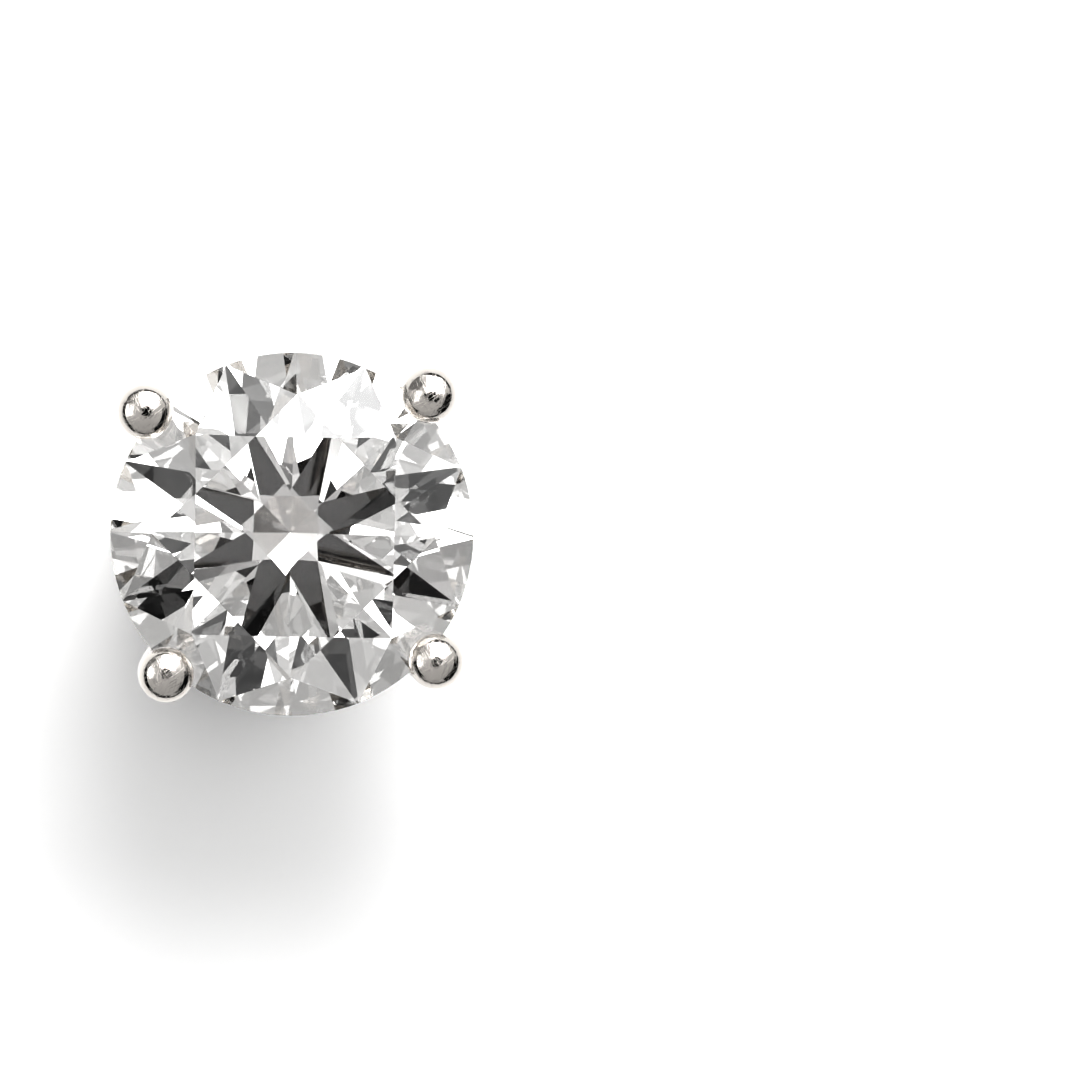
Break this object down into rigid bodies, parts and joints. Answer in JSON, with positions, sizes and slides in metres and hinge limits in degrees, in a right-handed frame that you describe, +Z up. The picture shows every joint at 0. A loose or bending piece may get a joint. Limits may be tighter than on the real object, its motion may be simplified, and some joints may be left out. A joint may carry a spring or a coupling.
{
  "type": "stud earring",
  "caption": "Stud earring: a round brilliant-cut stone in a four-prong basket on a straight post, standing on its plain round clutch.",
  "frame": {"origin": "on the post's axis, in the flat back face of the clutch that the stud stands on", "axes": "+Z up along the post to the stone's table; X and Y square to the table's sides"},
  "size_m": [0.0064, 0.0064, 0.0151],
  "materials": {
    "stone": "cut and polished",
    "white_gold": "polished white gold",
    "clutch_metal": "polished white gold"
  },
  "bodies": {
    "root": {"stone": "stone", "setting": "white_gold", "clutch": "clutch_metal"}
  },
  "joints": []
}
